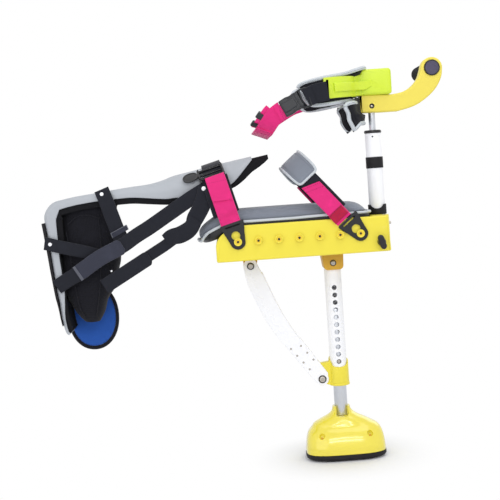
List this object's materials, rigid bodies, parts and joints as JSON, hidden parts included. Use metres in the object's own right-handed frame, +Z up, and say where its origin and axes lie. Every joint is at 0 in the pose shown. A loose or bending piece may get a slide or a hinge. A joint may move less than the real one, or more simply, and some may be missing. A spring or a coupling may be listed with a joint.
{
  "type": "knee walker",
  "caption": "Hands-free knee walker: padded knee platform on a telescopic leg and rocker foot, with handle post, thigh cuff, hook-on straps and a lower-leg brace.",
  "frame": {"origin": "middle of the knee cushion's crown, where the wearer's knee rests", "axes": "+X forward, from the brace to the handle; +Z up along the leg tube; -Y the side with the buckles and the wing knob"},
  "size_m": [0.8068, 0.245, 0.785],
  "materials": {
    "yellow_plastic": "glossy moulded",
    "lime_plastic": "glossy moulded",
    "black_plastic": "satin moulded",
    "black_rubber": "matte",
    "white_paint": "gloss powder coat",
    "brushed_aluminium": "drawn tube",
    "zinc_steel": "zinc plated",
    "grey_fabric": "woven, padded",
    "black_fabric": "padded mesh",
    "pink_webbing": "woven webbing",
    "black_webbing": "woven webbing",
    "grey_shell": "satin moulded",
    "blue_fabric": "brushed lining",
    "black_foam": "foam with fabric face"
  },
  "bodies": {
    "frame": {"platform_tray": "yellow_plastic", "seat_pan": "black_plastic", "knee_cushion": "grey_fabric", "front_pin": "zinc_steel", "post_boot": "black_rubber", "leg_socket": "yellow_plastic", "leg_socket_bolt": "zinc_steel", "leg_tube": "white_paint", "leg_bush": "black_plastic", "leg_collar": "yellow_plastic", "strut": "white_paint", "strut_bracket": "yellow_plastic", "strut_upper_bolt": "zinc_steel", "strut_lower_bolt": "zinc_steel"},
    "leg_extension": {"lower_tube": "brushed_aluminium", "button_spring": "zinc_steel", "foot_shell": "yellow_plastic", "foot_sole": "black_rubber", "foot_screw_rear": "zinc_steel", "foot_screw_front": "zinc_steel"},
    "lock_button": {"snap_button": "zinc_steel"},
    "post": {"post_tube": "white_paint", "post_band": "black_rubber", "post_ring": "black_plastic", "post_bush": "black_plastic"},
    "handle": {"handle_tube": "brushed_aluminium", "tube_glide": "black_plastic", "handle_arm": "yellow_plastic", "arm_bolt": "zinc_steel", "grip": "black_foam", "grip_cap_near": "black_plastic", "grip_cap_far": "black_plastic", "thigh_bracket": "lime_plastic", "thigh_pad": "black_fabric", "thigh_flap": "black_fabric", "thigh_webbing": "black_webbing", "thigh_ladder_lock": "black_plastic", "thigh_buckle_socket": "black_plastic", "thigh_buckle_plug": "black_plastic", "thigh_strap": "pink_webbing"},
    "knob": {"wing_knob": "black_plastic"},
    "front_strap_loop": {"front_hook_near": "black_plastic", "front_hook_far": "black_plastic", "front_strap": "pink_webbing", "front_pad": "grey_fabric"},
    "rear_strap_loop": {"rear_hook_near": "black_plastic", "rear_hook_far": "black_plastic", "rear_strap_near": "pink_webbing", "rear_buckle_plug": "black_plastic", "rear_buckle_socket": "black_plastic", "rear_strap_far": "black_webbing"},
    "leg_brace": {"brace_shell": "grey_shell", "brace_liner": "black_foam", "brace_outsole": "black_rubber", "boot_wrap": "black_fabric", "toe_flap": "blue_fabric", "ankle_strap": "black_webbing", "heel_strap": "black_webbing", "long_strap_toe": "black_webbing", "long_strap_side": "black_webbing"}
  },
  "joints": [
    {"name": "leg_height", "type": "slide", "parent": "frame", "child": "leg_extension", "axis": [0, 0, 1], "range_m": [0, 0.0298]},
    {"name": "lock_button_press", "type": "slide", "parent": "leg_extension", "child": "lock_button", "axis": [0, -1, 0], "range_m": [0, 0.004], "stiffness_N_per_m": 300, "springref_m": 0.003},
    {"name": "post_height", "type": "slide", "parent": "frame", "child": "post", "axis": [0, 0, 1], "range_m": [0, 0.03]},
    {"name": "handle_height", "type": "slide", "parent": "post", "child": "handle", "axis": [0, 0, 1], "range_m": [-0.01, 0.09]},
    {"name": "knob_turn", "type": "hinge", "parent": "frame", "child": "knob", "pos_m": [0.181, 0, -0.08], "axis": [0, 1, 0], "continuous": true},
    {"name": "front_strap_swing", "type": "hinge", "parent": "frame", "child": "front_strap_loop", "pos_m": [0.1414, 0, -0.061], "axis": [0, 1, 0], "range_deg": [-8, 20]},
    {"name": "rear_strap_swing", "type": "hinge", "parent": "frame", "child": "rear_strap_loop", "pos_m": [-0.095, 0, -0.061], "axis": [0, 1, 0], "range_deg": [-8, 8]},
    {"name": "brace_tilt", "type": "hinge", "parent": "rear_strap_loop", "child": "leg_brace", "pos_m": [-0.135, 0, 0.045], "axis": [0, 1, 0], "range_deg": [-6, 6]}
  ]
}
